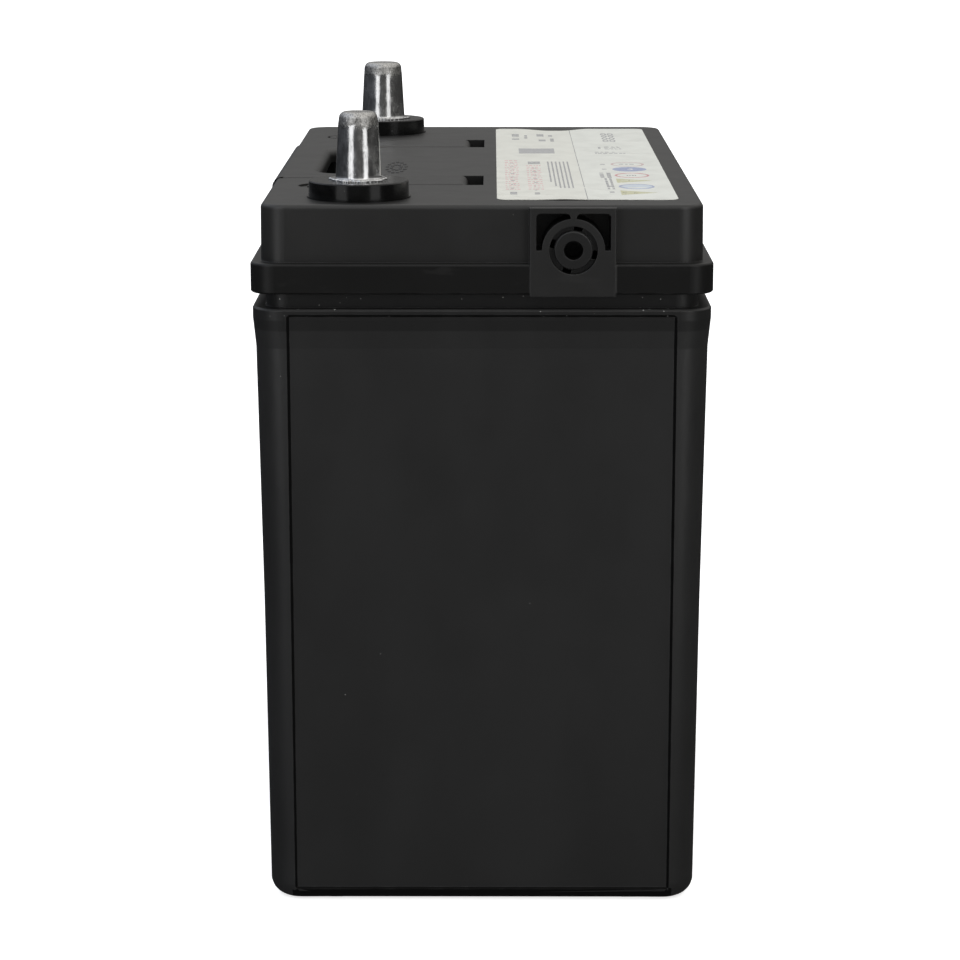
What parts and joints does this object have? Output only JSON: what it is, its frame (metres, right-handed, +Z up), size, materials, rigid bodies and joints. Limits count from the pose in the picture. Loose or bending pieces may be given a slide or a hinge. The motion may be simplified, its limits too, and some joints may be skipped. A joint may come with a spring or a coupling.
{
  "type": "lead acid starter battery",
  "caption": "Lead acid starter battery in a tall black case with tapered lead posts, gas vent outlets at the ends, a top label and a carrying handle that folds flat.",
  "frame": {"origin": "centre of the base, on the surface that the battery stands on", "axes": "+Z up, +Y along the battery's length from the negative post's end to the positive post's end, +X away from the side that carries the posts"},
  "size_m": [0.129, 0.238, 0.227],
  "materials": {
    "container_plastic": "satin moulded black polypropylene",
    "lid_plastic": "satin moulded black polypropylene with a fine grain on top",
    "handle_plastic": "satin moulded black polypropylene",
    "vent_plastic": "satin moulded black plastic",
    "collar_plastic": "smooth glossy black plastic",
    "label_film": "printed white film with a satin surface",
    "post_lead": "bright turned lead with fine scratches and a rough cast cap",
    "strap_lead": "dull cast lead",
    "positive_plate": "pressed brown lead dioxide paste",
    "negative_plate": "pressed grey sponge lead",
    "separator_sheet": "thin porous polyethylene sheet",
    "sintered_disc": "porous sintered disc",
    "seal_rubber": "soft black rubber"
  },
  "bodies": {
    "battery": {"container": "container_plastic", "flame_arrestor_front": "sintered_disc", "flame_arrestor_rear": "sintered_disc", "intercell_connectors": "strap_lead", "label_sheet": "label_film", "lid": "lid_plastic", "negative_bushing": "post_lead", "negative_plates_1": "negative_plate", "negative_plates_2": "negative_plate", "negative_plates_3": "negative_plate", "negative_plates_4": "negative_plate", "negative_plates_5": "negative_plate", "negative_plates_6": "negative_plate", "negative_post": "post_lead", "negative_strap_1": "strap_lead", "negative_strap_2": "strap_lead", "negative_strap_3": "strap_lead", "negative_strap_4": "strap_lead", "negative_strap_5": "strap_lead", "negative_strap_6": "strap_lead", "positive_bushing": "post_lead", "positive_plates_1": "positive_plate", "positive_plates_2": "positive_plate", "positive_plates_3": "positive_plate", "positive_plates_4": "positive_plate", "positive_plates_5": "positive_plate", "positive_plates_6": "positive_plate", "positive_post": "post_lead", "positive_strap_1": "strap_lead", "positive_strap_2": "strap_lead", "positive_strap_3": "strap_lead", "positive_strap_4": "strap_lead", "positive_strap_5": "strap_lead", "positive_strap_6": "strap_lead", "separators_1": "separator_sheet", "separators_2": "separator_sheet", "separators_3": "separator_sheet", "separators_4": "separator_sheet", "separators_5": "separator_sheet", "separators_6": "separator_sheet", "terminal_collar_negative": "collar_plastic", "terminal_collar_positive": "collar_plastic", "vent_cover": "lid_plastic", "vent_insert_front": "vent_plastic", "vent_insert_rear": "vent_plastic", "vent_plug_seals": "seal_rubber", "vent_plugs": "vent_plastic"},
    "handle": {"carry_handle": "handle_plastic"}
  },
  "joints": [
    {"name": "handle_lift", "type": "hinge", "parent": "battery", "child": "handle", "pos_m": [-0.0072, 0, 0.2], "axis": [0, 1, 0], "range_deg": [0, 100]}
  ]
}
